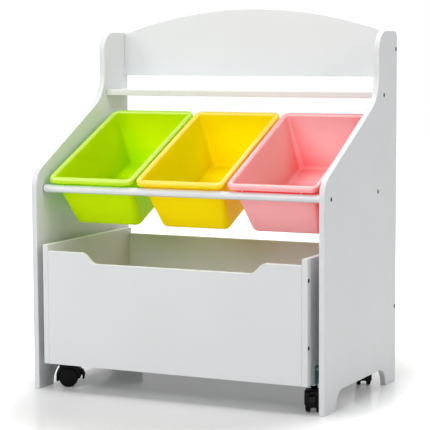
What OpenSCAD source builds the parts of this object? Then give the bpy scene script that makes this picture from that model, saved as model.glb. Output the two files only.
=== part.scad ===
// Toy shelf: two shaped side panels carry an arched back panel, a shelf and two rods
// that hold three tilted bins. A storage box on four casters rolls in underneath.
// Millimetres. X runs to the right, Y to the back and Z up. The origin lies on the
// floor, in the middle of the footprint.

/* [Frame] */
// Width over the side panels
shelf_w = 650; // [632:1:720]
// Thickness of every board
board_t = 12; // [10:0.5:15]
// Depth of the side panels
side_d = 388; // [376:1:430]
// Height of the side panels
side_h = 734; // [715:1:790]
// Height where the front edge would meet the slope
knee_z = 446; // [430:1:470]
// Radius of the bend from the front edge into the slope
knee_r = 45; // [20:1:70]
// Height where the slope would meet the upper front edge
throat_z = 599; // [585:1:610]
// Radius of the bend from the slope into the upper front edge
throat_r = 75; // [40:1:85]
// Depth of the upper part of the side panels
upper_d = 102; // [90:1:112]
// Radius of the upper front corner
crown_r = 40; // [20:1:50]
// Radius of the upper back corner
crown_back_r = 16; // [5:1:30]
// Width of each foot
foot_w = 57; // [40:1:80]
// Height of the arch between the feet
arch_h = 37.5; // [30:0.5:50]
// Radius of the arch corners
arch_r = 36; // [10:1:37]
// Height of the top of the shelf
shelf_z = 609.5; // [604:0.5:630]
// Distance of the shelf behind the upper front edge
shelf_setback = 8; // [4:0.5:15]
// Open gap between the shelf and the arched panel
back_gap = 30; // [20:1:50]
// Height of the arched panel's middle above the side panels
arch_rise = 48; // [30:1:60]
// Depth of the arched panel's ends below the top of the side panels
arch_end_drop = 5; // [2:0.5:12]
// Height of the lower edge of the rail at the back
rail_z = 125; // [100:1:200]
// Height of that rail
rail_h = 70; // [60:1:100]
// Radius of the front edges of the shelf
edge_r = 2; // [1:0.5:4]

/* [Rods] */
// Diameter of both rods
rod_d = 16; // [14:0.5:18]
// Wall of the rod tube
rod_wall = 1.2; // [0.8:0.1:2]
// Distance of the front rod behind the front edge
rod_in = 32.7; // [28:0.1:40]
// Height of the front rod
rod_z = 414.4; // [408:0.1:425]
// Horizontal distance between the rods
rod_spacing = 249; // [235:1:255]
// Thickness of the flange on each rod plug
plug_flange_t = 1.5; // [1:0.1:3]
// Length of each rod plug inside its tube
plug_len = 20; // [15:1:30]

/* [Bins] */
// Gap between neighbouring bins
bin_gap = 5; // [4:0.5:12]
// Gap between a bin and a side panel
bin_side_gap = 11; // [5:0.5:20]
// Length of a bin over its rim
bin_l = 316.5; // [300:0.5:318]
// Depth of a bin from its rim to its underside
bin_depth = 123.5; // [112:0.5:126]
// Wall thickness of a bin
bin_t = 2.2; // [1.8:0.1:3]
// Tilt of the bins
bin_tilt = 24.4; // [20:0.1:26]
// Width of the rim
rim_w = 12; // [11:0.5:14]
// Height of the skirt that hangs from the rim
skirt_h = 13.5; // [10:0.5:15]
// Outer radius of the rim corners
rim_corner_r = 18; // [16:0.5:24]
// Radius along the rim's outer edge
rim_edge_r = 5; // [3.5:0.5:5.5]
// Radius along the edge of the mouth
mouth_r = 5; // [3.5:0.5:5.5]
// Inset of the bin's underside at each side
bin_side_inset = 23; // [17:0.5:28]
// Inset of the bin's underside at the front
bin_front_inset = 31; // [20:0.5:38]
// Inset of the bin's underside at the back
bin_back_inset = 20; // [16:0.5:26]
// Radius of the upright corners at the underside
bin_corner_r = 14; // [11:0.5:20]
// Radius along the edge of the underside
bin_foot_r = 9; // [5:0.5:12]
// Spacing of the two ribs that rest on the front rod
rib_spacing = 125; // [90:1:140]
// Thickness of these ribs
rib_t = 2; // [1.5:0.1:3]
// Reach of these ribs below the skirt
rib_h = 2.1; // [1:0.1:4]

/* [Storage box] */
// Distance of the box in front of the side panels
box_proud = 10; // [2:1:20]
// Gap between the box and each side panel
box_gap = 19; // [18:0.5:24]
// Gap between the box's back and the rail
box_back_gap = 32; // [30.5:0.5:60]
// Height of the underside of the box
box_z = 56.6; // [55.5:0.1:62]
// Height of the top of the box's sides
box_side_top = 303; // [280:1:320]
// Height of the top of the box's front
box_front_top = 290; // [270:1:300]
// Height of the top of the box's back
box_back_top = 291; // [270:1:300]
// Width of the hand cut-out along the top edge
cut_top_w = 398.5; // [340:0.5:440]
// Width of the hand cut-out along its lower edge
cut_low_w = 355.5; // [280:0.5:380]
// Depth of the hand cut-out
cut_h = 21.5; // [15:0.5:35]
// Radius of the bends in the hand cut-out
cut_r = 18.5; // [8:0.5:20]
// Thickness of the box's bottom board
bottom_t = 5; // [3:0.5:8]
// Height of the bottom board above the underside
bottom_up = 9; // [6:0.5:20]
// Depth of the grooves that hold the bottom board
groove_d = 6; // [4:0.5:7]

/* [Fixings] */
// Shank diameter of the board screws
screw_d = 5; // [4:0.5:6]
// Length of the board screws
screw_l = 45; // [35:1:50]
// Shank diameter of the rod screws
rod_screw_d = 6; // [5:0.5:7]
// Length of the rod screws
rod_screw_l = 28; // [22:1:32]
// Diameter of the screw heads
head_d = 9; // [8:0.5:11]
// Height of the screw heads
head_h = 3; // [2:0.5:4]
// Size across the corners of the hexagon socket in a head
socket_d = 4.6; // [3:0.1:5]
// Depth of the hexagon socket
socket_h = 1.8; // [1:0.1:1.9]
// Diameter of the wooden dowels
dowel_d = 8; // [6:0.5:8]
// Length of the wooden dowels
dowel_l = 30; // [24:1:40]
// Depth of a dowel in the side board
dowel_in = 8; // [6:0.5:8.5]
// Height of the arched panel's screws
arch_screw_z = 696; // [675:1:705]
// Distance of the shelf's screws behind its front edge
shelf_screw_in = 20; // [12:1:40]
// Distance of the shelf's dowels ahead of its back edge
shelf_dowel_in = 18; // [10:1:30]
// Height of the arched panel's dowels above its lower edge
arch_dowel_up = 18; // [10:1:30]
// Height of the upper screws in the box's sides
box_screw_high = 261; // [240:1:264]
// Height of the lower screws in the box's sides
box_screw_low = 131; // [100:1:160]
// Radial clearance around screws, dowels, axles and stems
fit = 0.05; // [0.03:0.01:0.1]
// Gap between a bin and the rods it rests on
seat = 0.3; // [0.2:0.05:0.5]

/* [Casters] */
// Distance of the caster stems inside the box's outer faces
stem_in = 9.5; // [8.5:0.5:14]
// Distance of the front caster stems behind the box's front
stem_front = 56; // [50:1:80]
// Distance of the rear caster stems ahead of the box's back
stem_back = 34; // [30:1:60]
// Diameter of the caster stems
stem_d = 8; // [6:0.5:8.5]
// Height of a stem's lower end above the axle
stem_up = 2; // [1:0.5:6]
// Distance from the stem back to the axle
trail = 13; // [11:0.5:15]
// Diameter of the wheels
wheel_d = 40; // [36:0.5:42]
// Width of one wheel
wheel_t = 9; // [7:0.5:9.5]
// Thickness of a wheel's tread
tread_t = 3.5; // [2.5:0.1:4.5]
// Thickness of a wheel's outer face
wheel_face_t = 3; // [2:0.1:4]
// Wall around the hole for the axle
hub_wall = 4; // [3:0.1:5]
// Thickness of the cap over each end of an axle
cap_t = 1.4; // [1:0.1:2]
// Gap between that cap and the end of the axle
axle_play = 1; // [0.5:0.1:2]
// Height of the dome on a wheel's outer face
wheel_dome = 1.2; // [0.6:0.1:1.6]
// Radius of the tread's outer edge
tread_r = 2.2; // [1:0.1:2.6]
// Diameter of the axles
axle_d = 5; // [4:0.5:6]
// Thickness of the web between the two wheels
web_t = 12; // [11:0.5:13]
// Diameter of the round web around the axle
web_d = 25; // [16:0.5:28]
// Gap between a wheel and the web
wheel_play = 0.4; // [0.3:0.05:0.8]
// Gap between a wheel and the hood around it
hood_gap = 1; // [0.8:0.1:1.5]
// Thickness of the hood
hood_wall = 4; // [3.2:0.1:5]
// Height of the hood's top above its radius
hood_crown = 0.5; // [0:0.1:1]
// Radius of the hood's leading upper edge
hood_nose_r = 20; // [16:0.5:21]
// Radius of the hood's trailing upper edge
hood_tail_r = 9; // [5:0.5:10]
// Radius of the hood's lower corners
hood_lip_r = 1; // [0.5:0.1:1.5]
// Reach of the hood below the axle at the leading side
hood_front_drop = 7.4; // [4:0.1:9]
// Reach of the hood below the axle at the trailing side
hood_back_drop = 1; // [0:0.1:4]
// Diameter of the crown around the stem
crown_d = 14; // [12:0.5:16]
// Gap between the crown and the collar above it
crown_gap = 0.4; // [0.3:0.05:0.8]
// Height of the collar between the crown and the bracket
collar_h = 4.7; // [3.5:0.1:6]
// Diameter of that collar
collar_d = 12; // [10:0.5:14]
// Thickness of the caster brackets
bracket_t = 2; // [1.5:0.1:2.5]
// Width of the caster brackets
bracket_w = 42; // [36:1:50]
// Height of a bracket above the underside of the box
bracket_h = 35; // [28:1:50]
// Reach of a bracket under the box
bracket_reach = 28; // [24:1:40]
// Corner radius of a bracket
bracket_r = 5; // [2:0.5:8]
// Shank diameter of the bracket screws
bracket_screw_d = 3.5; // [3:0.1:4]
// Height of the round heads of the bracket screws
bracket_head_h = 2.1; // [1.5:0.1:2.6]
// Height of the bracket screws above the underside of the box
bracket_screw_up = 27; // [18:0.5:27.5]
// Spacing of the bracket screws
bracket_screw_gap = 24; // [16:1:28]
// Width of the brake levers
lever_w = 13.6; // [10:0.2:14]
// Gap between a brake lever and each side of its slot
lever_play = 0.4; // [0.3:0.05:0.6]
// Direction in which the front left caster trails
front_left_angle = 26; // [-105:1:105]
// Direction in which the front right caster trails
front_right_angle = 287; // [75:1:287]
// Direction in which the rear left caster trails
rear_left_angle = 60; // [-105:1:105]
// Direction in which the rear right caster trails
rear_right_angle = 116; // [75:1:287]

/* [Hidden] */
$fn = 64;

// Colours
white_board = [0.93, 0.94, 0.95];
white_rod = [0.96, 0.97, 0.98];
plug_grey = [0.30, 0.32, 0.34];
screw_bronze = [0.22, 0.20, 0.18];
beech = [0.80, 0.66, 0.47];
zinc_teal = [0.16, 0.33, 0.36];
steel = [0.62, 0.64, 0.66];
caster_black = [0.05, 0.05, 0.055];
bin_lime = [0.70, 0.90, 0.00];
bin_yellow_colour = [0.97, 0.84, 0.00];
bin_pink_colour = [1.00, 0.66, 0.68];

// How far an arc's chords may lie inside the arc, a cut's reach past a face, and the
// thickness of the slices that a hull joins
arc_error = 0.04;
past = 1;
slice = 0.01;

// Places of the frame
inner_w = shelf_w - 2 * board_t;
front_y = (box_proud - side_d) / 2;
back_y = front_y + side_d;
upper_y = side_d - upper_d;
shelf_y = front_y + upper_y + shelf_setback;
shelf_mid_z = shelf_z - board_t / 2;
back_mid_y = back_y - board_t / 2;
arch_low_z = shelf_z + back_gap;
rail_mid_z = rail_z + rail_h / 2;

// Arc of the arched panel's top edge, from its half chord and its rise
arch_half = inner_w / 2;
arch_sagitta = arch_rise + arch_end_drop;
arch_top_r = (pow(arch_half, 2) + pow(arch_sagitta, 2)) / (2 * arch_sagitta);
arch_centre_z = side_h + arch_rise - arch_top_r;
arch_half_angle = asin(arch_half / arch_top_r);
arch_points = 40;

// Front rod, the bins' frame on it, and the rear rod under the bins
rod_y = front_y + rod_in;
rod_r = rod_d / 2;
rib_v = bin_t;
front_rod_w = -(skirt_h + rib_h + seat + rod_r);
bin_y = rod_y - (rib_v * cos(bin_tilt) - front_rod_w * sin(bin_tilt));
bin_z = rod_z - (rib_v * sin(bin_tilt) + front_rod_w * cos(bin_tilt));
rear_rod_w = -(bin_depth + seat + rod_r);
rod_drop = rear_rod_w - front_rod_w;
rod_run = (rod_spacing + rod_drop * sin(bin_tilt)) / cos(bin_tilt);
rear_rod_y = rod_y + rod_spacing;
rear_rod_z = rod_z + rod_run * sin(bin_tilt) + rod_drop * cos(bin_tilt);
tube_l = inner_w - 2 * plug_flange_t;
bin_w = (inner_w - 2 * (bin_side_gap + bin_gap)) / 3;
bin_pitch = bin_w + bin_gap;

// Storage box
box_w = inner_w - 2 * box_gap;
box_in_w = box_w - 2 * board_t;
box_y = front_y - box_proud;
box_back_y = back_y - board_t - box_back_gap;
box_d = box_back_y - box_y;
box_front_mid = box_y + board_t / 2;
box_back_mid = box_back_y - board_t / 2;
groove_h = bottom_t + 2 * fit;

// Casters, each [x sign, y, trailing direction]
stem_x = box_w / 2 - stem_in;
front_stem_y = box_y + stem_front;
rear_stem_y = box_back_y - stem_back;
wheel_r = wheel_d / 2;
pocket_r = wheel_r + hood_gap;
hood_r = pocket_r + hood_wall;
hood_top = hood_r + hood_crown;
hood_w = web_t + 2 * (wheel_play + wheel_t);
bracket_z = box_z - bracket_t;
collar_z = bracket_z - collar_h;
crown_z = collar_z - crown_gap;
stem_low_z = wheel_r + stem_up;
lever_slot_w = lever_w + 2 * lever_play;
bore_r = axle_d / 2 + fit;
axle_in = wheel_play + wheel_t - cap_t - axle_play;

// Brake lever and its slot in the hood, drawn about the axle for a hood of 25 mm radius.
// The first number trails, the second is up, and a third is a corner radius.
lever_scale = hood_r / 25;
lever_pivot = [19.5, 15] * lever_scale;
lever_pin_d = 3 * lever_scale;
lever_pin_l = hood_w - hood_wall;
slot_low = [16, 6.5] * lever_scale;
slot_high = [26, 19.4] * lever_scale;
lever_outline = lever_scale * [
    [17.2, 18.0, 2.2], [24.0, 18.2, 2.0], [30.5, 14.5, 4.0],
    [34.3, 5.0, 6.0], [32.2, -4.5, 1.3], [28.6, -4.2, 1.3],
    [29.2, 3.5, 4.0], [24.0, 8.5, 3.0], [17.6, 12.4, 1.4]
];

// Frame fixings as [y, z] on the side panels
function board_screw_places() = [
    [back_mid_y, arch_screw_z],
    [shelf_y + shelf_screw_in, shelf_mid_z],
    [back_mid_y, rail_mid_z]
];
function rod_places() = [[rod_y, rod_z], [rear_rod_y, rear_rod_z]];
function frame_dowel_places() = [
    [back_mid_y, arch_low_z + arch_dowel_up],
    [back_y - shelf_dowel_in, shelf_mid_z],
    [back_mid_y, rail_mid_z - rail_h / 3],
    [back_mid_y, rail_mid_z + rail_h / 3]
];
// Box fixings as [y, z] on the box's sides
function box_screw_places() = [
    for (y = [box_front_mid, box_back_mid], z = [box_screw_low, box_screw_high]) [y, z]
];
function box_dowel_places() = [
    for (y = [box_front_mid, box_back_mid]) [y, (box_screw_low + box_screw_high) / 2]
];

// Outlines. A corner is [x, y, radius], and a radius of 0 keeps it sharp.
function unit(v) = v / norm(v);
function flat(p) = [p[0], p[1]];
function corner(before, at, after) =
    let (
        a = unit(flat(before) - flat(at)),
        b = unit(flat(after) - flat(at)),
        half = acos(a * b) / 2,
        start = flat(at) + a * at[2] / tan(half),
        stop = flat(at) + b * at[2] / tan(half),
        middle = flat(at) + unit(a + b) * at[2] / sin(half),
        from = atan2(start[1] - middle[1], start[0] - middle[0]),
        to = atan2(stop[1] - middle[1], stop[0] - middle[0]),
        turned = to - from,
        sweep = turned > 180 ? turned - 360 : turned < -180 ? turned + 360 : turned,
        steps = ceil(abs(sweep) / (2 * acos(1 - arc_error / at[2])))
    )
    [for (i = [0:steps]) middle + at[2] * [cos(from + sweep * i / steps), sin(from + sweep * i / steps)]];
function rounded(points) =
    let (n = len(points))
    [for (i = [0:n - 1])
        each points[i][2] == 0
            ? [flat(points[i])]
            : corner(points[(i + n - 1) % n], points[i], points[(i + 1) % n])];

// Extrudes an outline drawn in Y and Z along X, from x to x + length
module along_x(x, length) {
    translate([x, 0, 0]) rotate([90, 0, 90]) linear_extrude(length) children();
}

// Extrudes an outline drawn in X and Z along Y, from y to y + length
module along_y(y, length) {
    translate([0, y + length, 0]) rotate([90, 0, 0]) linear_extrude(length) children();
}

// A cylinder along X, from x to x + length, through the point [y, z]
module bar_x(x, length, place, d) {
    translate([x, place[0], place[1]]) rotate([0, 90, 0]) cylinder(d = d, h = length);
}

module both_sides() {
    children();
    mirror([1, 0, 0]) children();
}

// Screw along -X with its head's top face at x = 0
module screw(d, length) {
    difference() {
        rotate([0, -90, 0]) union() {
            cylinder(d = head_d, h = head_h);
            cylinder(d = d, h = length);
        }
        rotate([0, -90, 0]) translate([0, 0, -past]) cylinder(d = socket_d, h = socket_h + past, $fn = 6);
    }
}

// Room for that screw in the boards it joins, with its head sunk at x = face
module screw_room(face, place, d, length) {
    bar_x(face - head_h - fit, head_h + fit + past, place, head_d + 2 * fit);
    bar_x(face - length - past, length + 2 * past, place, d + 2 * fit);
}

// Room for a dowel across the joint at x = face
module dowel_room(face, place) {
    bar_x(face - (dowel_l - dowel_in) - past, dowel_l + 2 * past, place, dowel_d + 2 * fit);
}

// Room for all frame fixings on the right-hand side
module frame_rooms() {
    for (p = board_screw_places()) screw_room(shelf_w / 2, p, screw_d, screw_l);
    for (p = rod_places()) screw_room(shelf_w / 2, p, rod_screw_d, rod_screw_l);
    for (p = frame_dowel_places()) dowel_room(inner_w / 2, p);
}

// Room for all box fixings on the right-hand side
module box_rooms() {
    for (p = box_screw_places()) screw_room(box_w / 2, p, screw_d, screw_l);
    for (p = box_dowel_places()) dowel_room(box_in_w / 2, p);
}

// Side panels: straight front edge, slope beside the bins, tall back part and two feet
module side_panel() {
    outline = rounded([
        [0, 0, 0],
        [0, knee_z, knee_r],
        [upper_y, throat_z, throat_r],
        [upper_y, side_h, crown_r],
        [side_d, side_h, crown_back_r],
        [side_d, 0, 0],
        [side_d - foot_w, 0, 0],
        [side_d - foot_w, arch_h, arch_r],
        [foot_w, arch_h, arch_r],
        [foot_w, 0, 0]
    ]);
    difference() {
        translate([0, front_y, 0]) along_x(inner_w / 2, board_t) polygon(outline);
        frame_rooms();
    }
}

module side_panel_left() {
    color(white_board) mirror([1, 0, 0]) side_panel();
}

module side_panel_right() {
    color(white_board) side_panel();
}

// Arched panel between the side panels, flush with their back edges
module arch_panel() {
    top = [for (i = [0:arch_points])
        let (a = arch_half_angle * (1 - 2 * i / arch_points))
        [arch_top_r * sin(a), arch_centre_z + arch_top_r * cos(a)]];
    color(white_board) difference() {
        along_y(back_y - board_t, board_t)
            polygon(concat([[-arch_half, arch_low_z], [arch_half, arch_low_z]], top));
        both_sides() frame_rooms();
    }
}

// Shelf with softly rounded front edges
module top_shelf() {
    low_z = shelf_z - board_t;
    color(white_board) difference() {
        along_x(-inner_w / 2, inner_w) polygon(rounded([
            [shelf_y, low_z, edge_r],
            [back_y, low_z, 0],
            [back_y, shelf_z, 0],
            [shelf_y, shelf_z, edge_r]
        ]));
        both_sides() frame_rooms();
    }
}

// Rail that ties the side panels together behind the box
module rear_rail() {
    color(white_board) difference() {
        translate([-inner_w / 2, back_y - board_t, rail_z]) cube([inner_w, board_t, rail_h]);
        both_sides() frame_rooms();
    }
}

// Rods: a painted tube with a plastic plug in each end
module rod(place) {
    color(white_rod) difference() {
        bar_x(-tube_l / 2, tube_l, place, rod_d);
        bar_x(-tube_l / 2 - past, tube_l + 2 * past, place, rod_d - 2 * rod_wall);
    }
}

module front_rod() {
    rod(rod_places()[0]);
}

module rear_rod() {
    rod(rod_places()[1]);
}

module rod_plugs() {
    color(plug_grey) both_sides() for (p = rod_places()) difference() {
        union() {
            bar_x(inner_w / 2 - plug_flange_t, plug_flange_t, p, rod_d);
            bar_x(inner_w / 2 - plug_flange_t - plug_len, plug_flange_t + plug_len, p,
                rod_d - 2 * (rod_wall + fit));
        }
        bar_x(inner_w / 2 - plug_flange_t - plug_len - past, plug_flange_t + plug_len + 2 * past, p,
            rod_screw_d + 2 * fit);
    }
}

module frame_screws() {
    color(screw_bronze) both_sides() for (p = board_screw_places())
        translate([shelf_w / 2, p[0], p[1]]) screw(screw_d, screw_l);
}

module rod_screws() {
    color(screw_bronze) both_sides() for (p = rod_places())
        translate([shelf_w / 2, p[0], p[1]]) screw(rod_screw_d, rod_screw_l);
}

module frame_dowels() {
    color(beech) both_sides() for (p = frame_dowel_places())
        bar_x(inner_w / 2 - (dowel_l - dowel_in), dowel_l, p, dowel_d);
}

// Storage box: front and back stand between the two sides
module box_front() {
    outline = rounded([
        [-box_in_w / 2, box_z, 0],
        [box_in_w / 2, box_z, 0],
        [box_in_w / 2, box_front_top, 0],
        [cut_top_w / 2, box_front_top, cut_r],
        [cut_low_w / 2, box_front_top - cut_h, cut_r],
        [-cut_low_w / 2, box_front_top - cut_h, cut_r],
        [-cut_top_w / 2, box_front_top, cut_r],
        [-box_in_w / 2, box_front_top, 0]
    ]);
    color(white_board) difference() {
        along_y(box_y, board_t) polygon(outline);
        bottom_room();
        both_sides() box_rooms();
    }
}

module box_back() {
    color(white_board) difference() {
        translate([-box_in_w / 2, box_back_y - board_t, box_z])
            cube([box_in_w, board_t, box_back_top - box_z]);
        bottom_room();
        both_sides() box_rooms();
    }
}

module box_side() {
    color(white_board) difference() {
        translate([box_in_w / 2, box_y, box_z]) cube([board_t, box_d, box_side_top - box_z]);
        bottom_room();
        box_rooms();
        for (y = [front_stem_y, rear_stem_y]) bracket_screw_rooms(y);
    }
}

module box_side_left() {
    mirror([1, 0, 0]) box_side();
}

module box_side_right() {
    box_side();
}

// Bottom board, and the groove that it slides into on all four sides
module box_bottom() {
    color(white_board) translate([
        -box_in_w / 2 - groove_d + fit,
        box_y + board_t - groove_d + fit,
        box_z + bottom_up + fit
    ]) cube([
        box_in_w + 2 * (groove_d - fit),
        box_d - 2 * (board_t - groove_d + fit),
        bottom_t
    ]);
}

module bottom_room() {
    translate([-box_in_w / 2 - groove_d, box_y + board_t - groove_d, box_z + bottom_up])
        cube([box_in_w + 2 * groove_d, box_d - 2 * (board_t - groove_d), groove_h]);
}

module box_screws() {
    color(screw_bronze) both_sides() for (p = box_screw_places())
        translate([box_w / 2, p[0], p[1]]) screw(screw_d, screw_l);
}

module box_dowels() {
    color(beech) both_sides() for (p = box_dowel_places())
        bar_x(box_in_w / 2 - (dowel_l - dowel_in), dowel_l, p, dowel_d);
}

// Caster brackets: folded plates, up the outer face of the box and in under its edge
module caster_bracket(y) {
    top_z = box_z + bracket_h;
    in_x = box_w / 2 + bracket_t - bracket_reach;
    difference() {
        union() {
            along_x(box_w / 2, bracket_t) polygon(rounded([
                [y - bracket_w / 2, bracket_z, 0],
                [y + bracket_w / 2, bracket_z, 0],
                [y + bracket_w / 2, top_z, bracket_r],
                [y - bracket_w / 2, top_z, bracket_r]
            ]));
            translate([0, 0, bracket_z]) linear_extrude(bracket_t) polygon(rounded([
                [in_x, y - bracket_w / 2, bracket_r],
                [box_w / 2 + bracket_t, y - bracket_w / 2, 0],
                [box_w / 2 + bracket_t, y + bracket_w / 2, 0],
                [in_x, y + bracket_w / 2, bracket_r]
            ]));
        }
        translate([stem_x, y, bracket_z - past]) cylinder(d = stem_d + 2 * fit, h = bracket_t + 2 * past);
        bracket_screw_rooms(y);
    }
}

module bracket_screw_rooms(y) {
    for (side = [-1, 1])
        bar_x(box_w / 2 - board_t + past, board_t + bracket_t, bracket_screw_place(y, side),
            bracket_screw_d + 2 * fit);
}

function bracket_screw_place(y, side) = [y + side * bracket_screw_gap / 2, box_z + bracket_screw_up];

module caster_brackets() {
    color(zinc_teal) both_sides() for (y = [front_stem_y, rear_stem_y]) caster_bracket(y);
}

// Round-headed screws through the brackets
module bracket_screws() {
    head_r = bracket_screw_d;
    color(steel) both_sides() for (y = [front_stem_y, rear_stem_y], side = [-1, 1])
        translate([
            box_w / 2 + bracket_t,
            bracket_screw_place(y, side)[0],
            bracket_screw_place(y, side)[1]
        ]) rotate([0, 90, 0]) {
            translate([0, 0, -board_t]) cylinder(d = bracket_screw_d, h = board_t);
            rotate_extrude() polygon(rounded([
                [0, 0, 0],
                [head_r, 0, 0],
                [head_r, bracket_head_h, bracket_head_h * 2 / 3],
                [0, bracket_head_h, 0]
            ]));
        }
}

// Stems with the collar that carries the crown of each hood
module caster_stems() {
    color(steel) both_sides() for (y = [front_stem_y, rear_stem_y]) translate([stem_x, y, 0]) {
        translate([0, 0, stem_low_z]) cylinder(d = stem_d, h = box_z - stem_low_z);
        translate([0, 0, collar_z]) cylinder(d = collar_d, h = collar_h);
    }
}

// Puts a caster piece, drawn with its stem on the Z axis and trailing along X, in place
module caster_at(side, y, turn) {
    translate([side * stem_x, y, 0]) rotate([0, 0, turn]) children();
}

// Moves a caster piece to its axle, with the piece's X and Y drawn as trailing and up
module about_axle() {
    translate([trail, 0, wheel_r]) rotate([90, 0, 0]) children();
}

// Hood over both wheels, with the web between them and the crown around the stem
module caster_hood(has_lever) {
    outline = rounded([
        [-hood_r, -hood_front_drop, hood_lip_r],
        [-hood_r, hood_top, hood_nose_r],
        [hood_r, hood_top, hood_tail_r],
        [hood_r, -hood_back_drop, hood_lip_r]
    ]);
    color(caster_black) difference() {
        union() {
            about_axle() linear_extrude(hood_w, center = true) polygon(outline);
            about_axle() cylinder(d = web_d, h = web_t, center = true);
            translate([0, 0, wheel_r]) cylinder(d = crown_d, h = crown_z - wheel_r);
        }
        for (side = [-1, 1])
            about_axle() translate([0, 0, side * (web_t + hood_w) / 2])
                cylinder(r = pocket_r, h = hood_w, center = true);
        about_axle() cylinder(d = axle_d + 2 * fit, h = hood_w, center = true);
        translate([0, 0, stem_low_z - past]) cylinder(d = stem_d + 2 * fit, h = crown_z);
        if (has_lever) lever_slot();
    }
}

module lever_slot() {
    about_axle() {
        translate([slot_low[0], slot_low[1], -lever_slot_w / 2])
            cube([slot_high[0] - slot_low[0], slot_high[1] - slot_low[1], lever_slot_w]);
        translate([pocket_r, -wheel_r, -lever_slot_w / 2])
            cube([hood_r, wheel_r + slot_low[1] + past, lever_slot_w]);
        translate(lever_pivot) cylinder(d = lever_pin_d + 2 * fit, h = lever_pin_l + 2 * fit, center = true);
    }
}

// Axle, which ends inside the wheels' closed outer faces
module caster_axle() {
    color(steel) about_axle() cylinder(d = axle_d, h = web_t + 2 * axle_in, center = true);
}

// A pair of wheels: hollow towards the web, gently domed outside
module caster_wheels() {
    draft = wheel_dome;
    fillet = tread_r / 4;
    profile = rounded([
        [0, wheel_t - cap_t, 0],
        [bore_r, wheel_t - cap_t, 0],
        [bore_r, 0, 0],
        [bore_r + hub_wall - draft, 0, 0],
        [bore_r + hub_wall, wheel_t - wheel_face_t, fillet],
        [wheel_r - tread_t - draft, wheel_t - wheel_face_t, fillet],
        [wheel_r - tread_t, 0, 0],
        [wheel_r, 0, fillet],
        [wheel_r, wheel_t - wheel_dome, tread_r],
        [wheel_r * 3 / 4, wheel_t - wheel_dome / 3, tread_r],
        [0, wheel_t, 0]
    ]);
    color(caster_black) about_axle() for (side = [0, 1])
        mirror([0, 0, side]) translate([0, 0, web_t / 2 + wheel_play]) rotate_extrude() polygon(profile);
}

// Brake lever: a hooked pedal on its own pin at the trailing side of the hood
module brake_lever() {
    color(caster_black) about_axle() difference() {
        linear_extrude(lever_w, center = true) polygon(rounded(lever_outline));
        translate(lever_pivot) cylinder(d = lever_pin_d + 2 * fit, h = lever_w + 2 * past, center = true);
    }
}

module brake_pin() {
    color(steel) about_axle() translate(lever_pivot)
        cylinder(d = lever_pin_d, h = lever_pin_l, center = true);
}

// One level of a bin's body, which tapers from the foot of the mouth's rounding down,
// at height level and shrunk all round by margin
module bin_level(level, margin) {
    drop = -(level + mouth_r) / (bin_depth - mouth_r);
    side = rim_w - bin_t + drop * (bin_side_inset - rim_w + bin_t) + margin;
    front = rim_w - bin_t + drop * (bin_front_inset - rim_w + bin_t) + margin;
    back = rim_w - bin_t + drop * (bin_back_inset - rim_w + bin_t) + margin;
    top_r = rim_corner_r - rim_w + bin_t;
    r = max(1, top_r + drop * (bin_corner_r - top_r) - margin);
    translate([0, 0, level]) linear_extrude(slice)
        bin_rectangle([side - bin_w / 2, front], [bin_w / 2 - side, bin_l - back], r);
}

module bin_rectangle(low, high, r) {
    hull() for (x = [low[0] + r, high[0] - r], y = [low[1] + r, high[1] - r])
        translate([x, y]) circle(r = r, $fn = 32);
}

// Solid body of a bin from its underside to the level called top, shrunk by margin
module bin_body(top, margin) {
    floor_level = margin - bin_depth;
    r = bin_foot_r - margin;
    hull() {
        bin_level(top, margin);
        for (a = [0, 30, 60, 90]) bin_level(floor_level + r * (1 - sin(a)), margin + r * (1 - cos(a)));
    }
}

// Rolled rim, drawn outwards from the mouth of the bin, with its hanging skirt
module rim_profile() {
    lap = mouth_r + bin_t;
    lip_r = 0.4 * bin_t;
    polygon(rounded([
        [0, -lap, 0],
        [0, 0, mouth_r],
        [rim_w, 0, rim_edge_r],
        [rim_w, -skirt_h, lip_r],
        [rim_w - bin_t, -skirt_h, lip_r],
        [rim_w - bin_t, -bin_t, rim_edge_r - bin_t],
        [bin_t, -bin_t, mouth_r - bin_t],
        [bin_t, -lap, 0]
    ]));
}

module bin_rim() {
    inner_r = rim_corner_r - rim_w;
    long = bin_l - 2 * rim_corner_r;
    wide = bin_w - 2 * rim_corner_r;
    translate([0, bin_l / 2, 0]) for (turned = [0, 180]) rotate([0, 0, turned]) {
        translate([wide / 2 + inner_r, long / 2, 0]) rotate([90, 0, 0]) linear_extrude(long) rim_profile();
        translate([-wide / 2, long / 2 + inner_r, 0]) rotate([90, 0, 90]) linear_extrude(wide) rim_profile();
        for (side = [0, 1]) mirror([side, 0, 0]) translate([wide / 2, long / 2, 0])
            rotate_extrude(angle = 90, $fn = 32) translate([inner_r, 0]) rim_profile();
    }
}

// Ribs between the front skirt and the front wall that carry the bin on the front rod
module bin_ribs() {
    for (side = [-1, 1])
        translate([side * rib_spacing / 2 - rib_t / 2, bin_t / 4, -skirt_h - rib_h])
            cube([rib_t, rim_w, skirt_h / 2 + rib_h]);
}

module bin(column) {
    translate([column * bin_pitch, bin_y, bin_z]) rotate([bin_tilt, 0, 0]) union() {
        difference() {
            union() {
                bin_body(-mouth_r - bin_t / 2, 0);
                bin_ribs();
            }
            bin_body(past - mouth_r, bin_t);
        }
        bin_rim();
    }
}

module bin_green() {
    color(bin_lime) bin(-1);
}

module bin_yellow() {
    color(bin_yellow_colour) bin(0);
}

module bin_pink() {
    color(bin_pink_colour) bin(1);
}

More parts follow.
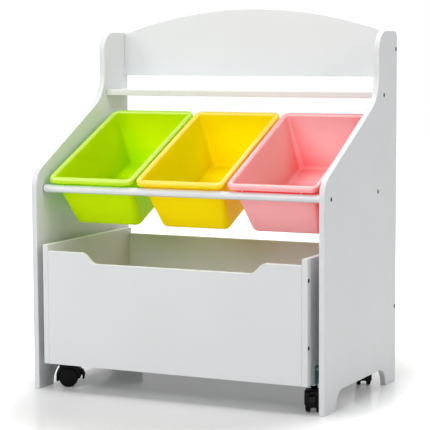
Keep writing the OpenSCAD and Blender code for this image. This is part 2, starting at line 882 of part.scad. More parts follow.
side_panel_left();
side_panel_right();
arch_panel();
top_shelf();
rear_rail();
front_rod();
rear_rod();
rod_plugs();
frame_screws();
rod_screws();
frame_dowels();
box_front();
box_side_left();
box_side_right();
box_back();
box_bottom();
box_screws();
box_dowels();
caster_brackets();
bracket_screws();
caster_stems();
caster_at(-1, front_stem_y, front_left_angle) caster_hood(true);  // caster_hood_front_left
caster_at(1, front_stem_y, front_right_angle) caster_hood(true);  // caster_hood_front_right
caster_at(-1, rear_stem_y, rear_left_angle) caster_hood(false);  // caster_hood_rear_left
caster_at(1, rear_stem_y, rear_right_angle) caster_hood(false);  // caster_hood_rear_right
caster_at(-1, front_stem_y, front_left_angle) caster_axle();  // caster_axle_front_left
caster_at(1, front_stem_y, front_right_angle) caster_axle();  // caster_axle_front_right
caster_at(-1, rear_stem_y, rear_left_angle) caster_axle();  // caster_axle_rear_left
caster_at(1, rear_stem_y, rear_right_angle) caster_axle();  // caster_axle_rear_right
caster_at(-1, front_stem_y, front_left_angle) caster_wheels();  // caster_wheels_front_left
caster_at(1, front_stem_y, front_right_angle) caster_wheels();  // caster_wheels_front_right
caster_at(-1, rear_stem_y, rear_left_angle) caster_wheels();  // caster_wheels_rear_left
caster_at(1, rear_stem_y, rear_right_angle) caster_wheels();  // caster_wheels_rear_right
caster_at(-1, front_stem_y, front_left_angle) brake_lever();  // brake_lever_left
caster_at(1, front_stem_y, front_right_angle) brake_lever();  // brake_lever_right
caster_at(-1, front_stem_y, front_left_angle) brake_pin();  // brake_pin_left
caster_at(1, front_stem_y, front_right_angle) brake_pin();  // brake_pin_right
bin_green();
bin_yellow();
bin_pink();
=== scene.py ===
"""Looks of the toy shelf: materials, moulded bins, light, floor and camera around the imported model."""

import itertools
import math

import bmesh
import bpy
from mathutils import Matrix, Vector


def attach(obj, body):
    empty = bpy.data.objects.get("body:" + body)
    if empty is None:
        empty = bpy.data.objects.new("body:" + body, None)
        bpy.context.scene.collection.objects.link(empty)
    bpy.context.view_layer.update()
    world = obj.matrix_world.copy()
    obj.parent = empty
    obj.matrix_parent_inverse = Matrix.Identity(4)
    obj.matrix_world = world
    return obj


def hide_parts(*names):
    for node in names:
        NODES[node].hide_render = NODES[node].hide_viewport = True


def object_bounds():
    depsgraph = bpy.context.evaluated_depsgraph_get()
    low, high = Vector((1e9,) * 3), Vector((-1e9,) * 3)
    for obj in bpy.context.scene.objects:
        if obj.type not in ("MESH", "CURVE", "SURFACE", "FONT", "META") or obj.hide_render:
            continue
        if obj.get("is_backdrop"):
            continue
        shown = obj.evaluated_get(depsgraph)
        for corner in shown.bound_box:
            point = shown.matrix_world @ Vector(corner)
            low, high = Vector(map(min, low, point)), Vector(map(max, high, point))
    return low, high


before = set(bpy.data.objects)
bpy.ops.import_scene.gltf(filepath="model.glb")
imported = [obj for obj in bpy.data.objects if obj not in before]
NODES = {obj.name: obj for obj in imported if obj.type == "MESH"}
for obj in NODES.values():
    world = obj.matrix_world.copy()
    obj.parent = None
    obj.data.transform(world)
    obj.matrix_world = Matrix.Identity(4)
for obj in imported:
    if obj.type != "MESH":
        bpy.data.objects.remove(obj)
cad_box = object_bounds()

# Sizes in millimetres, with X to the right, Y to the back and Z up

MM = 0.001

SHELF_W = 650
BOARD_T = 12
SIDE_D = 388
SIDE_H = 734
KNEE_Z, KNEE_R = 446, 45
THROAT_Z, THROAT_R = 599, 75
UPPER_D = 102
CROWN_R, CROWN_BACK_R = 40, 16
FOOT_W = 57
FOOT_ARCH_H, FOOT_ARCH_R = 37.5, 36
SHELF_Z = 609.5
SHELF_SETBACK = 8
BACK_GAP = 30
ARCH_RISE = 48
ARCH_END_DROP = 5
RAIL_Z = 125
RAIL_H = 70

ROD_R = 8
ROD_IN = 32.7
ROD_Z = 414.4
ROD_SPACING = 249

BIN_GAP = 5
BIN_SIDE_GAP = 11
BIN_L = 316.5
BIN_DEPTH = 123.5
WALL = 2.2
TILT = math.radians(24.4)
RIM_W = 12
RIM_CORNER_R = 18
EDGE_R = 5
MOUTH_R = 5
SIDE_INSET, FRONT_INSET, BACK_INSET = 23, 31, 20
BIN_CORNER_R = 14
BIN_FOOT_R = 9
RIB_SPACING = 125
RIB_T = 2.4
RIB_BACK = 11.5
SEAT = 0.3
# As in the photo, the skirt is 2.5 mm shorter than the solid's and the ribs reach down as much further.
SKIRT_H = 11
RIB_H = 4.6

BOX_PROUD = 10
BOX_GAP = 19
BOX_BACK_GAP = 32
BOX_Z = 56.6
BOX_SIDE_TOP, BOX_FRONT_TOP, BOX_BACK_TOP = 303, 290, 291
CUT_TOP_W, CUT_LOW_W = 398.5, 355.5
CUT_H = 21.5
CUT_R = 18.5

HEAD_D = 9
HEAD_H = 3
FIT = 0.05
ARCH_SCREW_Z = 696
SHELF_SCREW_IN = 20
BOX_SCREW_LOW, BOX_SCREW_HIGH = 131, 261

inner_w = SHELF_W - 2 * BOARD_T
front_y = (BOX_PROUD - SIDE_D) / 2
back_y = front_y + SIDE_D
upper_y = SIDE_D - UPPER_D
shelf_front_y = front_y + upper_y + SHELF_SETBACK
arch_low_z = SHELF_Z + BACK_GAP
rod_y = front_y + ROD_IN
bin_w = (inner_w - 2 * (BIN_SIDE_GAP + BIN_GAP)) / 3
bin_pitch = bin_w + BIN_GAP
box_w = inner_w - 2 * BOX_GAP
box_in_w = box_w - 2 * BOARD_T
box_y = front_y - BOX_PROUD
box_back_y = back_y - BOARD_T - BOX_BACK_GAP

# A bin sits SEAT above both rods: its ribs over the front one, its underside over the rear one.
front_rod_drop = SKIRT_H + RIB_H + SEAT + ROD_R
rear_rod_drop = BIN_DEPTH + SEAT + ROD_R - front_rod_drop
rod_run = (ROD_SPACING - rear_rod_drop * math.sin(TILT)) / math.cos(TILT)
rear_rod_z = ROD_Z + rod_run * math.sin(TILT) - rear_rod_drop * math.cos(TILT)

# The upright of a tilted rim, and the middle of the yellow bin's front edge
rim_normal = Vector((0, -math.sin(TILT), math.cos(TILT)))
middle_bin_edge = Vector((
    0,
    rod_y - WALL * math.cos(TILT) - front_rod_drop * math.sin(TILT),
    ROD_Z - WALL * math.sin(TILT) + front_rod_drop * math.cos(TILT),
))


# Materials

WHITE = (1, 1, 1, 1)
NOISE_MIDDLE = (0.3, 0.7)

# Each noise by its scale, by how it changes colour and roughness at its low and its high end, and by
# its depth in millimetres
GRAIN_DETAIL, COARSER = 2, 6
PAINT_CLOUDS, PAINT_PATCHES = 6, 30
PAINT_GLOSS = (0.9, 1.1)
METAL_MARKS, METAL_STRETCH, METAL_PATCHES = 300, (1, 1, 30), 60
METAL_COLOURS = (0.8, 1.15)
METAL_GLOSS = (0.75, 1.25)
METAL_DEPTH = 0.01
MOULDED_CLOUDS, MOULDED_GRAIN = 9, 1600
MOULDED_COLOURS = (0.985, 1.015)
MOULDED_DEPTH = 0.003


class Graph:
    """A node tree with short ways to add nodes and to feed their inputs."""

    def __init__(self, tree):
        self.tree = tree

    def feed(self, socket, value):
        """Links another node's output to the socket, or sets the socket to a constant."""
        if isinstance(value, bpy.types.NodeSocket):
            self.tree.links.new(value, socket)
        else:
            socket.default_value = value

    def add(self, kind, inputs=None, **settings):
        """A new node with these settings, and with inputs that are given by name or number."""
        node = self.tree.nodes.new("ShaderNode" + kind)
        for name, value in settings.items():
            setattr(node, name, value)
        for key, value in (inputs or {}).items():
            self.feed(node.inputs[key], value)
        return node

    def remap(self, factor, start, stop, low, high, **settings):
        """Goes from low to high while factor goes from start to stop, and stays level outside."""
        limits = {"Value": factor, "From Min": start, "From Max": stop, "To Min": low, "To Max": high}
        return self.add("MapRange", limits, **settings).outputs["Result"]

    def larger(self, first, second):
        """The larger of two values."""
        return self.add("Math", {0: first, 1: second}, operation="MAXIMUM").outputs["Value"]

    def blend(self, factor, first, second):
        """A colour between first and second."""
        return self.add("MixRGB", {"Fac": factor, "Color1": first, "Color2": second}).outputs["Color"]

    def mix(self, share, first, second):
        """Two shaders, with that share of the second."""
        return self.add("MixShader", {0: share, 1: first, 2: second}).outputs["Shader"]

    def surface(self, shader, output="Material Output"):
        """Sends a shader to the tree's output."""
        self.feed(self.tree.nodes[output].inputs["Surface"], shader)


class Look(Graph):
    """A Principled material whose colour, roughness and relief come from procedural nodes."""

    def __init__(self, name, **sockets):
        self.material = bpy.data.materials.new(name)
        self.material.use_nodes = True
        super().__init__(self.material.node_tree)
        self.shader = self.tree.nodes["Principled BSDF"]
        for socket, value in sockets.items():
            self.feed(self.shader.inputs[socket.replace("_", " ")], value)
        self.place = self.add("TexCoord").outputs["Object"]

    def noise(self, scale, detail=3, stretch=(1, 1, 1)):
        """Clouds that are 1 m / scale across."""
        place = self.add("Mapping", {"Vector": self.place, "Scale": stretch}).outputs["Vector"]
        return self.add("TexNoise", {"Vector": place, "Scale": scale, "Detail": detail}).outputs["Fac"]

    def clouded(self, factor, colour, changes):
        """The colour, changed from the first to the second of changes over the middle of a noise."""
        node = self.add("ValToRGB", {"Fac": factor})
        for element, place, change in zip(node.color_ramp.elements, NOISE_MIDDLE, changes):
            element.position = place
            element.color = (*scaled(colour, change), 1)
        return node.outputs["Color"]

    def uneven(self, factor, value, changes):
        """The value, changed in the same way."""
        return self.remap(factor, *NOISE_MIDDLE, *(value * change for change in changes))

    def colour(self, value):
        self.feed(self.shader.inputs["Base Color"], value)

    def roughness(self, value):
        self.feed(self.shader.inputs["Roughness"], value)

    def bump(self, *reliefs):
        """Relief from (height socket, depth in millimetres) pairs, one on top of the other."""
        below = {}
        for height, depth in reliefs:
            node = self.add("Bump", {"Height": height, "Distance": depth * MM, "Strength": 1, **below})
            below = {"Normal": node.outputs["Normal"]}
        self.feed(self.shader.inputs["Normal"], below["Normal"])

    def let_through(self, colour, share):
        """Lets a share of the light through the skin, tinted with colour."""
        skin = self.add("BsdfTranslucent", {"Color": colour})
        self.surface(self.mix(share, self.shader.outputs["BSDF"], skin.outputs["BSDF"]))


def srgb(red, green, blue):
    """A display colour from 0 to 255 as linear light."""
    return tuple(
        v / 255 / 12.92 if v <= 10 else ((v / 255 + 0.055) / 1.055) ** 2.4 for v in (red, green, blue)
    )


def scaled(colour, amount):
    """The colour times amount, kept under 1."""
    return tuple(min(1, v * amount) for v in colour)


def varied(name, colour, spread, roughness, grain, depth, **sockets):
    """Paint or plastic with clouds, uneven gloss, and a fine and a coarser grain.

    spread is how far the clouds go from the colour, and depth is the grain's in millimetres."""
    look = Look(name, **sockets)
    look.colour(look.clouded(look.noise(PAINT_CLOUDS), colour, (1 - spread, 1 + spread)))
    look.roughness(look.uneven(look.noise(PAINT_PATCHES), roughness, PAINT_GLOSS))
    fine, coarse = (look.noise(scale, GRAIN_DETAIL) for scale in (grain, grain / COARSER))
    look.bump((fine, depth), (coarse, depth))
    return look.material


def board_paint(name, colour):
    """Satin paint with a faint grain."""
    return varied(name, colour, spread=0.012, roughness=0.42, grain=900, depth=0.01, Specular_IOR_Level=0.4)


def metal(name, colour, roughness):
    """Plated metal with fine drawn marks and patches of a duller plating."""
    look = Look(name, Metallic=1.0)
    marks = look.noise(METAL_MARKS, detail=4, stretch=METAL_STRETCH)
    look.colour(look.clouded(look.noise(METAL_PATCHES), colour, METAL_COLOURS))
    look.roughness(look.uneven(marks, roughness, METAL_GLOSS))
    look.bump((marks, METAL_DEPTH))
    return look.material


BOARD = board_paint("white_board_paint", srgb(222, 224, 225))
# The shelf's paint is a lighter copy of the boards': painted light, standing in for the brighter light on the
# shelf's front edge
SHELF_PAINTED_LIGHT = board_paint("white_shelf_paint_painted_light", srgb(227, 228, 226))
ROD = varied(
    "white_powder_coat", srgb(226, 229, 230),
    spread=0.01, roughness=0.2, grain=1400, depth=0.01, Coat_Weight=0.4,
)
PLUG = varied("grey_plug", srgb(96, 100, 104), spread=0.05, roughness=0.5, grain=1200, depth=0.03)
BEECH = varied("beech_dowel", srgb(214, 184, 142), spread=0.08, roughness=0.6, grain=700, depth=0.05)
BLACK = varied(
    "black_nylon", srgb(7, 7, 8),
    spread=0.15, roughness=0.4, grain=1500, depth=0.03, Specular_IOR_Level=0.12,
)
STEEL = metal("zinc_steel", srgb(190, 192, 195), roughness=0.28)
BRONZE = metal("bronze_screw", srgb(70, 66, 62), roughness=0.4)
TEAL = metal("teal_zinc", srgb(96, 146, 150), roughness=0.3)


# Painted shade on the bins: their colour turns darker and deeper within this many metres of another wall, as
# ambient occlusion finds it.
# The next two are the shares of open air where that painted shade is full and where it is gone.
PAINTED_SHADE_REACH = 0.08
PAINTED_SHADE_FULL_AT, PAINTED_SHADE_GONE_AT = 0.25, 0.8
PAINTED_SHADE_RAYS = 8
BODY_ROUGHNESS, RIM_ROUGHNESS = 0.34, 0.16
BODY_SHINE, RIM_SHINE = 0.1, 1
# A painted highlight: the share of white blended into the colour of the rim's rounded top
RIM_PAINTED_HIGHLIGHT = 0.2
LET_THROUGH = 0.5


def moulded(name, colour, painted_shade_colour):
    """Moulded polypropylene that lets light through, satin below and glossy on the rim, with a painted
    highlight that pales the rim's rounded top and painted shade in its corners.

    The second colour is painted shade: the darker, deeper colour it turns to in corners, in slits and under
    the rim and rods, where nearby walls keep light away."""
    look = Look(name)
    height = look.add("VectorMath", {0: look.place, 1: rim_normal}, operation="DOT_PRODUCT").outputs["Value"]
    rim_level = rim_normal.dot(middle_bin_edge)

    def rising(depth, low, high):
        """A value that goes from low at depth under the top of the rim to high on its rounded edge."""
        return look.remap(height, (rim_level - depth) * MM, (rim_level - EDGE_R / 2) * MM, low, high)

    # Painted shade: ambient occlusion measures the open air nearby, and less of it mixes in the darker colour
    nearby = look.add("AmbientOcclusion", {"Distance": PAINTED_SHADE_REACH}, samples=PAINTED_SHADE_RAYS).outputs["AO"]
    open_air = look.remap(nearby, PAINTED_SHADE_FULL_AT, PAINTED_SHADE_GONE_AT, 0, 1)
    inside_wall = look.add("NewGeometry").outputs["Backfacing"]
    clouds = look.clouded(look.noise(MOULDED_CLOUDS), colour, MOULDED_COLOURS)
    # Painted shade in corners and slits, while the inside of a wall keeps the plain colour
    skin = look.blend(look.larger(open_air, inside_wall), (*painted_shade_colour, 1), clouds)
    # Painted highlight: the rim's rounded top is blended towards white
    skin = look.blend(rising(EDGE_R, 0, RIM_PAINTED_HIGHLIGHT), skin, WHITE)
    look.colour(skin)
    look.let_through(skin, LET_THROUGH)
    look.feed(look.shader.inputs["Specular IOR Level"], rising(SKIRT_H, BODY_SHINE, RIM_SHINE))
    look.roughness(rising(SKIRT_H, BODY_ROUGHNESS, RIM_ROUGHNESS))
    look.bump((look.noise(MOULDED_GRAIN, GRAIN_DETAIL), MOULDED_DEPTH))
    return look.material


BIN_LOOKS = {
    "green": moulded("lime_plastic", srgb(228, 246, 4), srgb(178, 236, 0)),
    "yellow": moulded("yellow_plastic", srgb(254, 241, 4), srgb(244, 213, 0)),
    "pink": moulded("pink_plastic", srgb(255, 213, 215), srgb(255, 96, 100)),
}


# Pieces that keep the shape of their solids


def dress(name, material):
    """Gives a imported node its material."""
    materials = NODES[name].data.materials
    materials.clear()
    materials.append(material)


dress("box_bottom", BOARD)
for rod in ("front_rod", "rear_rod"):
    dress(rod, ROD)
dress("rod_plugs", PLUG)
for screws in ("frame_screws", "rod_screws", "box_screws"):
    dress(screws, BRONZE)
for dowels in ("frame_dowels", "box_dowels"):
    dress(dowels, BEECH)
dress("caster_brackets", TEAL)
for name in NODES:
    if name.startswith(("caster_hood", "caster_wheels", "brake_lever")):
        dress(name, BLACK)
    if name.startswith(("caster_axle", "brake_pin", "bracket_screws", "caster_stems")):
        dress(name, STEEL)


# Pieces drawn here

SHARP_ANGLE = math.radians(35)
SOFT_ANGLE = math.radians(40)
SOFT_STEPS = 4


def to_object(name, mesh):
    """Turns a bmesh drawn in millimetres into an object in metres."""
    data = bpy.data.meshes.new(name)
    mesh.to_mesh(data)
    mesh.free()
    data.transform(Matrix.Scale(MM, 4))
    obj = bpy.data.objects.new(name, data)
    bpy.context.scene.collection.objects.link(obj)
    return obj


def make_piece(name, mesh, material, body, soft_edge=0):
    """Makes a piece from a bmesh, with edges rounded by soft_edge, that moves with body."""
    bmesh.ops.recalc_face_normals(mesh, faces=mesh.faces)
    obj = to_object(name, mesh)
    obj.data.materials.append(material)
    obj.data.shade_smooth()
    obj.data.set_sharp_from_angle(angle=SHARP_ANGLE)
    if soft_edge:
        bevel = obj.modifiers.new("bevel", "BEVEL")
        bevel.width = soft_edge * MM
        bevel.segments = SOFT_STEPS
        bevel.limit_method = "ANGLE"
        bevel.angle_limit = SOFT_ANGLE
    weighted = obj.modifiers.new("weighted", "WEIGHTED_NORMAL")
    weighted.keep_sharp = not soft_edge
    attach(obj, body)
    return obj


# Painted boards with softly rounded edges

EDGE_SOFT, PANEL_EDGE_SOFT = 1.2, 1.4
ARC_STEP = 5
ARCH_STEPS = 40
HOLE_SIDES = 32


def rounded(corners):
    """An outline from (a, b, radius) corners, with an arc wherever the radius isn't 0."""
    points = []
    for i, (a, b, r) in enumerate(corners):
        at = Vector((a, b))
        if not r:
            points.append(at)
            continue
        before = (Vector(corners[i - 1][:2]) - at).normalized()
        after = (Vector(corners[(i + 1) % len(corners)][:2]) - at).normalized()
        half = before.angle(after) / 2
        middle = at + (before + after).normalized() * r / math.sin(half)
        first = at + before * r / math.tan(half) - middle
        last = at + after * r / math.tan(half) - middle
        turn = first.angle_signed(last)
        steps = max(2, math.ceil(abs(math.degrees(turn)) / ARC_STEP))
        for k in range(steps + 1):
            arm = first.copy()
            arm.rotate(Matrix.Rotation(-turn * k / steps, 2))
            points.append(middle + arm)
    return points


def drill(obj, face, places):
    """Sinks a hole for a screw's head at each (y, z) place into the face at x = face."""
    cutter = bmesh.new()
    for y, z in places:
        bmesh.ops.create_cone(
            cutter,
            cap_ends=True,
            segments=HOLE_SIDES,
            radius1=HEAD_D / 2 + FIT,
            radius2=HEAD_D / 2 + FIT,
            depth=2 * (HEAD_H + FIT),
            matrix=Matrix.Translation((face, y, z)) @ Matrix.Rotation(math.pi / 2, 4, "Y"),
        )
    tool = to_object("cutter", cutter)
    cut = obj.modifiers.new("holes", "BOOLEAN")
    cut.operation = "DIFFERENCE"
    cut.solver = "EXACT"
    cut.object = tool
    obj.modifiers.remove(obj.modifiers["weighted"])
    carved = bpy.data.meshes.new_from_object(obj.evaluated_get(bpy.context.evaluated_depsgraph_get()))
    obj.modifiers.clear()
    obj.data = carved
    bpy.data.objects.remove(tool)
    carved.set_sharp_from_angle(angle=SHARP_ANGLE)
    obj.modifiers.new("weighted", "WEIGHTED_NORMAL").keep_sharp = True


def board(node, body, corners, across, start, thickness=BOARD_T, screws=(), soft_edge=EDGE_SOFT, paint=BOARD):
    """A board from its outline in Y and Z (across "X") or in X and Z (across "Y").

    screws are the places of sunk screw heads in the face that is further out."""
    mesh = bmesh.new()
    outline = rounded(corners)
    ends = []
    for depth in (start, start + thickness):
        places = [(depth, a, b) if across == "X" else (a, depth, b) for a, b in outline]
        ends.append([mesh.verts.new(place) for place in places])
    near, far = ends
    for i in range(len(near)):
        j = (i + 1) % len(near)
        mesh.faces.new((near[i], near[j], far[j], far[i]))
    mesh.faces.new(near)
    mesh.faces.new(far)
    piece = make_piece("painted_" + node, mesh, paint, body, soft_edge)
    if screws:
        drill(piece, start if start < 0 else start + thickness, screws)
    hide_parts(node)


def block_corners(low, high):
    """The corners of a plain rectangle from low to high."""
    return [(low[0], low[1], 0), (high[0], low[1], 0), (high[0], high[1], 0), (low[0], high[1], 0)]


def side_panels():
    """Two side panels: a slope between the lower and the upper front edge, and a foot at each end."""
    corners = [
        (0, 0, 0), (0, KNEE_Z, KNEE_R),
        (upper_y, THROAT_Z, THROAT_R), (upper_y, SIDE_H, CROWN_R),
        (SIDE_D, SIDE_H, CROWN_BACK_R), (SIDE_D, 0, 0),
        (SIDE_D - FOOT_W, 0, 0), (SIDE_D - FOOT_W, FOOT_ARCH_H, FOOT_ARCH_R),
        (FOOT_W, FOOT_ARCH_H, FOOT_ARCH_R), (FOOT_W, 0, 0),
    ]
    corners = [(front_y + y, z, r) for y, z, r in corners]
    screws = [
        (back_y - BOARD_T / 2, ARCH_SCREW_Z),
        (shelf_front_y + SHELF_SCREW_IN, SHELF_Z - BOARD_T / 2),
        (back_y - BOARD_T / 2, RAIL_Z + RAIL_H / 2),
        (rod_y, ROD_Z),
        (rod_y + ROD_SPACING, rear_rod_z),
    ]
    for node, start in (("side_panel_left", -SHELF_W / 2), ("side_panel_right", inner_w / 2)):
        board(node, "frame", corners, "X", start, screws=screws, soft_edge=PANEL_EDGE_SOFT)


def arch_panel():
    """The panel at the top of the back, with an upper edge that is one shallow arc."""
    sagitta = ARCH_RISE + ARCH_END_DROP
    radius = ((inner_w / 2) ** 2 + sagitta ** 2) / (2 * sagitta)
    half_turn = math.asin(inner_w / 2 / radius)
    corners = [(-inner_w / 2, arch_low_z, 0), (inner_w / 2, arch_low_z, 0)]
    for step in range(ARCH_STEPS + 1):
        turn = half_turn * (1 - 2 * step / ARCH_STEPS)
        corners.append((radius * math.sin(turn), SIDE_H + ARCH_RISE - radius * (1 - math.cos(turn)), 0))
    board("arch_panel", "frame", corners, "Y", back_y - BOARD_T)


def shelf_and_rail():
    """The shelf between the side panels and the rail low down at the back."""
    shelf_corners = block_corners((shelf_front_y, SHELF_Z - BOARD_T), (back_y, SHELF_Z))
    board("top_shelf", "frame", shelf_corners, "X", -inner_w / 2, inner_w, paint=SHELF_PAINTED_LIGHT)
    rail_corners = block_corners((-inner_w / 2, RAIL_Z), (inner_w / 2, RAIL_Z + RAIL_H))
    board("rear_rail", "frame", rail_corners, "Y", back_y - BOARD_T)


def storage_box():
    """The rolling box's four walls, the front one with its hand cut-out."""
    half = box_in_w / 2
    front_corners = [
        (-half, BOX_Z, 0), (half, BOX_Z, 0), (half, BOX_FRONT_TOP, 0),
        (CUT_TOP_W / 2, BOX_FRONT_TOP, CUT_R), (CUT_LOW_W / 2, BOX_FRONT_TOP - CUT_H, CUT_R),
        (-CUT_LOW_W / 2, BOX_FRONT_TOP - CUT_H, CUT_R), (-CUT_TOP_W / 2, BOX_FRONT_TOP, CUT_R),
        (-half, BOX_FRONT_TOP, 0),
    ]
    board("box_front", "box", front_corners, "Y", box_y)
    back_corners = block_corners((-half, BOX_Z), (half, BOX_BACK_TOP))
    board("box_back", "box", back_corners, "Y", box_back_y - BOARD_T)
    side_corners = block_corners((box_y, BOX_Z), (box_back_y, BOX_SIDE_TOP))
    middles = (box_y + BOARD_T / 2, box_back_y - BOARD_T / 2)
    screws = [(y, z) for y in middles for z in (BOX_SCREW_LOW, BOX_SCREW_HIGH)]
    board("box_side_left", "box", side_corners, "X", -box_w / 2, screws=screws)
    board("box_side_right", "box", side_corners, "X", half, screws=screws)


side_panels()
arch_panel()
shelf_and_rail()
storage_box()


# Bins, one closed mesh each, lofted through rounded rectangles

CORNER_STEPS = 10
INNER_STEPS, OUTER_STEPS = 6, 10
FOOT_ANGLES = (90, 75, 60, 45, 30, 15, 0)


def rectangle(side, front, back, r, z):
    """Points round a rectangle set in by side, front and back from the rim's outer edge."""
    points = []
    left, right = side - bin_w / 2, bin_w / 2 - side
    near, far = front, BIN_L - back
    for quarter, (x, y) in enumerate(((right, far), (left, far), (left, near), (right, near))):
        cx = x - math.copysign(r, x)
        cy = y - math.copysign(r, y - BIN_L / 2)
        for step in range(CORNER_STEPS + 1):
            a = math.radians(90 * quarter + 90 * step / CORNER_STEPS)
            points.append((cx + r * math.cos(a), cy + r * math.sin(a), z))
    return points


def body_ring(z, margin):
    """Ring of the tapering body at height z, shrunk all round by margin."""
    drop = -(z + MOUTH_R) / (BIN_DEPTH - MOUTH_R)
    top = RIM_W - WALL
    insets = [top + drop * (inset - top) + margin for inset in (SIDE_INSET, FRONT_INSET, BACK_INSET)]
    r = RIM_CORNER_R - top + drop * (BIN_CORNER_R - RIM_CORNER_R + top) - margin
    return rectangle(*insets, max(1, r), z)


def foot_rings(angles, margin):
    """Rings round the edge of the underside, shrunk all round by margin."""
    r = BIN_FOOT_R - margin
    for a in map(math.radians, angles):
        yield body_ring(margin + r * (1 - math.sin(a)) - BIN_DEPTH, margin + r * (1 - math.cos(a)))


def rim_rings(middle_inset, middle_z, r, start, stop, steps):
    """Rings along an arc of the rim's profile from start to stop degrees: 0 points inwards and 90 up."""
    for step in range(steps + 1):
        a = math.radians(start + (stop - start) * step / steps)
        inset = middle_inset + r * math.cos(a)
        yield rectangle(inset, inset, inset, RIM_CORNER_R - inset, middle_z + r * math.sin(a))


def bin_rings():
    """The whole skin: up the outside, under the rim, round its skirt, over the rim and down inside."""
    mouth = (RIM_W - MOUTH_R, -MOUTH_R)
    edge = (EDGE_R, -EDGE_R)
    hem = (WALL / 2, -SKIRT_H + WALL / 2)
    yield from foot_rings(FOOT_ANGLES, 0)
    yield from rim_rings(*mouth, MOUTH_R - WALL, 0, 90, INNER_STEPS)
    yield from rim_rings(*edge, EDGE_R - WALL, 90, 180, INNER_STEPS)
    yield from rim_rings(*hem, WALL / 2, 0, -180, INNER_STEPS)
    yield from rim_rings(*edge, EDGE_R, 180, 90, OUTER_STEPS)
    yield from rim_rings(*mouth, MOUTH_R, 90, 0, OUTER_STEPS)
    yield from foot_rings(reversed(FOOT_ANGLES), WALL)


def loft(mesh, rings):
    """Joins rings of equal length into one skin with a flat cap at each end."""
    loops = [[mesh.verts.new(p) for p in ring] for ring in rings]
    for below, above in zip(loops, loops[1:]):
        for i in range(len(below)):
            j = (i + 1) % len(below)
            mesh.faces.new((below[i], below[j], above[j], above[i]))
    mesh.faces.new(reversed(loops[0]))
    mesh.faces.new(loops[-1])


def block(mesh, low, high):
    """Adds a closed block from low to high."""
    corners = [mesh.verts.new(corner) for corner in itertools.product(*zip(low, high))]
    for face in ((0, 1, 3, 2), (4, 6, 7, 5), (0, 4, 5, 1), (2, 3, 7, 6), (0, 2, 6, 4), (1, 5, 7, 3)):
        mesh.faces.new([corners[i] for i in face])


def moulded_bin(column, colour):
    """A bin with its two ribs, drawn level from its rim's front edge and then tilted into its place."""
    mesh = bmesh.new()
    loft(mesh, bin_rings())
    for x in (-RIB_SPACING / 2, RIB_SPACING / 2):
        low = (x - RIB_T / 2, WALL / 4, -SKIRT_H - RIB_H)
        high = (x + RIB_T / 2, RIB_BACK, -SKIRT_H / 2)
        block(mesh, low, high)
    edge = middle_bin_edge + Vector((column * bin_pitch, 0, 0))
    place = Matrix.Translation(edge) @ Matrix.Rotation(TILT, 4, "X")
    bmesh.ops.transform(mesh, matrix=place, verts=mesh.verts)
    shell = make_piece("moulded_bin_" + colour, mesh, BIN_LOOKS[colour], colour + "_bin")
    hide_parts("bin_" + colour)


for column, colour in ((-1, "green"), (0, "yellow"), (1, "pink")):
    moulded_bin(column, colour)


# Floor and light, in metres and watts

FLOOR_SIZE = 16
FLOOR_GREY = 0.7
MIRROR_SHARE, MIRROR_ROUGHNESS = 0.12, 0.12
# The floor turns white between these distances from the middle, and a metre along X counts as 1.5.
GLOW_START, GLOW_STOP = 0.42, 0.86
GLOW_SQUEEZE = (1.5, 1, 1)


def seen(graph):
    """1 for rays from the camera, a reflection or a pane, and 0 for light on the object."""
    rays = graph.add("LightPath").outputs
    direct_or_mirrored = graph.larger(rays["Is Camera Ray"], rays["Is Glossy Ray"])
    return graph.larger(direct_or_mirrored, rays["Is Transmission Ray"])


def white_backdrop_world(light):
    """Even light of that strength, seen as plain white by the camera and in reflections."""
    world = bpy.data.worlds.new("studio")
    bpy.context.scene.world = world
    world.use_nodes = True
    graph = Graph(world.node_tree)
    around = graph.tree.nodes["Background"]
    graph.feed(around.inputs["Color"], WHITE)
    graph.feed(around.inputs["Strength"], light)
    white = graph.add("Background", {"Color": WHITE, "Strength": 1})
    mixed = graph.mix(seen(graph), around.outputs["Background"], white.outputs["Background"])
    graph.surface(mixed, "World Output")


def pale_floor(lift):
    """A pale floor with a faint mirror that keeps the shadow and comes out white away from it.

    lift is what the camera and reflections see on top, next to the piece and far from it."""
    material = bpy.data.materials.new("studio_floor")
    material.use_nodes = True
    graph = Graph(material.node_tree)
    graph.tree.nodes.remove(graph.tree.nodes["Principled BSDF"])
    matt = graph.add("BsdfDiffuse", {"Color": (FLOOR_GREY, FLOOR_GREY, FLOOR_GREY, 1)})
    mirror = graph.add("BsdfAnisotropic", {"Roughness": MIRROR_ROUGHNESS})
    ground = graph.mix(MIRROR_SHARE, matt.outputs["BSDF"], mirror.outputs["BSDF"])
    place = graph.add("TexCoord").outputs["Object"]
    wider = graph.add("VectorMath", {0: place, 1: GLOW_SQUEEZE}, operation="MULTIPLY").outputs["Vector"]
    away = graph.add("VectorMath", {0: wider}, operation="LENGTH").outputs["Value"]
    rise = graph.remap(away, GLOW_START, GLOW_STOP, *lift, interpolation_type="SMOOTHSTEP")
    strength = graph.add("Math", {0: seen(graph), 1: rise}, operation="MULTIPLY").outputs["Value"]
    glow = graph.add("Emission", {"Color": WHITE, "Strength": strength})
    both = graph.add("AddShader", {0: ground, 1: glow.outputs["Emission"]})
    graph.surface(both.outputs["Shader"])
    bpy.ops.mesh.primitive_plane_add(size=FLOOR_SIZE, location=(0, 0, 0))
    floor = bpy.context.object
    floor.name = "floor"
    floor.data.materials.append(material)
    floor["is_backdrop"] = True


def softbox(name, place, target, size, power):
    """An area lamp at place that faces target, with size as its width and height."""
    lamp = bpy.data.lights.new(name, "AREA")
    lamp.shape = "RECTANGLE"
    lamp.size, lamp.size_y = size
    lamp.energy = power
    obj = bpy.data.objects.new(name, lamp)
    obj.location = place
    obj.rotation_mode = "QUATERNION"
    obj.rotation_quaternion = (Vector(target) - Vector(place)).to_track_quat("-Z", "Y")
    bpy.context.scene.collection.objects.link(obj)


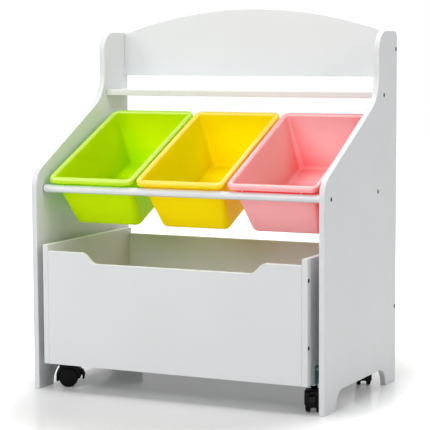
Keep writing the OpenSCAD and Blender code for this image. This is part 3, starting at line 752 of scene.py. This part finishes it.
white_backdrop_world(light=0.22)
pale_floor(lift=(0.06, 0.86))
softbox("key", (-0.45, -2.9, 1.6), (0, 0, 0.45), (1.6, 1.2), 28)
softbox("top", (-0.1, -0.35, 2.45), (0, 0, 0.3), (1.2, 0.8), 22)
softbox("back", (-0.1, 1.9, 2.4), (0, 0, 0.3), (2.4, 1.2), 44)
softbox("backdrop", (-0.4, 2.6, 0.8), (0, 0, 0.3), (3.5, 1.4), 6)
softbox("right", (2.6, -0.6, 1.8), (0, 0, 0.4), (1.2, 1.2), 21)
softbox("left", (-2.0, -2.1, 1.7), (0, 0, 0.4), (1.2, 1.2), 20)


# Camera, in metres, solved from the straight edges of the panels, the shelf and the box

CAMERA_PLACE = (1.575925, -3.200125, 0.725205)
YAW, PITCH, ROLL = (math.radians(angle) for angle in (26.2, -5.9, -0.3))
FOCAL_PIXELS = 1733.7
PHOTO_PIXELS = 430
SENSOR_W = 36
CLIP_START, CLIP_END = 0.1, 50


def add_camera():
    """Stands at CAMERA_PLACE, turned left by YAW, up by PITCH and round its own line of sight by ROLL."""
    ahead = Vector((-math.sin(YAW) * math.cos(PITCH), math.cos(YAW) * math.cos(PITCH), math.sin(PITCH)))
    right = Vector((math.cos(YAW), math.sin(YAW), 0))
    up = right.cross(ahead)
    rolled_right = right * math.cos(ROLL) + up * math.sin(ROLL)
    rolled_up = up * math.cos(ROLL) - right * math.sin(ROLL)
    turned = Matrix((rolled_right, rolled_up, -ahead)).transposed().to_4x4()
    camera = bpy.data.objects.new("camera", bpy.data.cameras.new("camera"))
    camera.data.sensor_width = SENSOR_W
    camera.data.lens = SENSOR_W * FOCAL_PIXELS / PHOTO_PIXELS
    camera.data.clip_start = CLIP_START
    camera.data.clip_end = CLIP_END
    camera.matrix_world = Matrix.Translation(CAMERA_PLACE) @ turned
    bpy.context.scene.collection.objects.link(camera)
    bpy.context.scene.camera = camera


add_camera()
bpy.context.scene.view_settings.view_transform = "Standard"

[[list(corner) for corner in box] for box in (cad_box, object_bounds())]
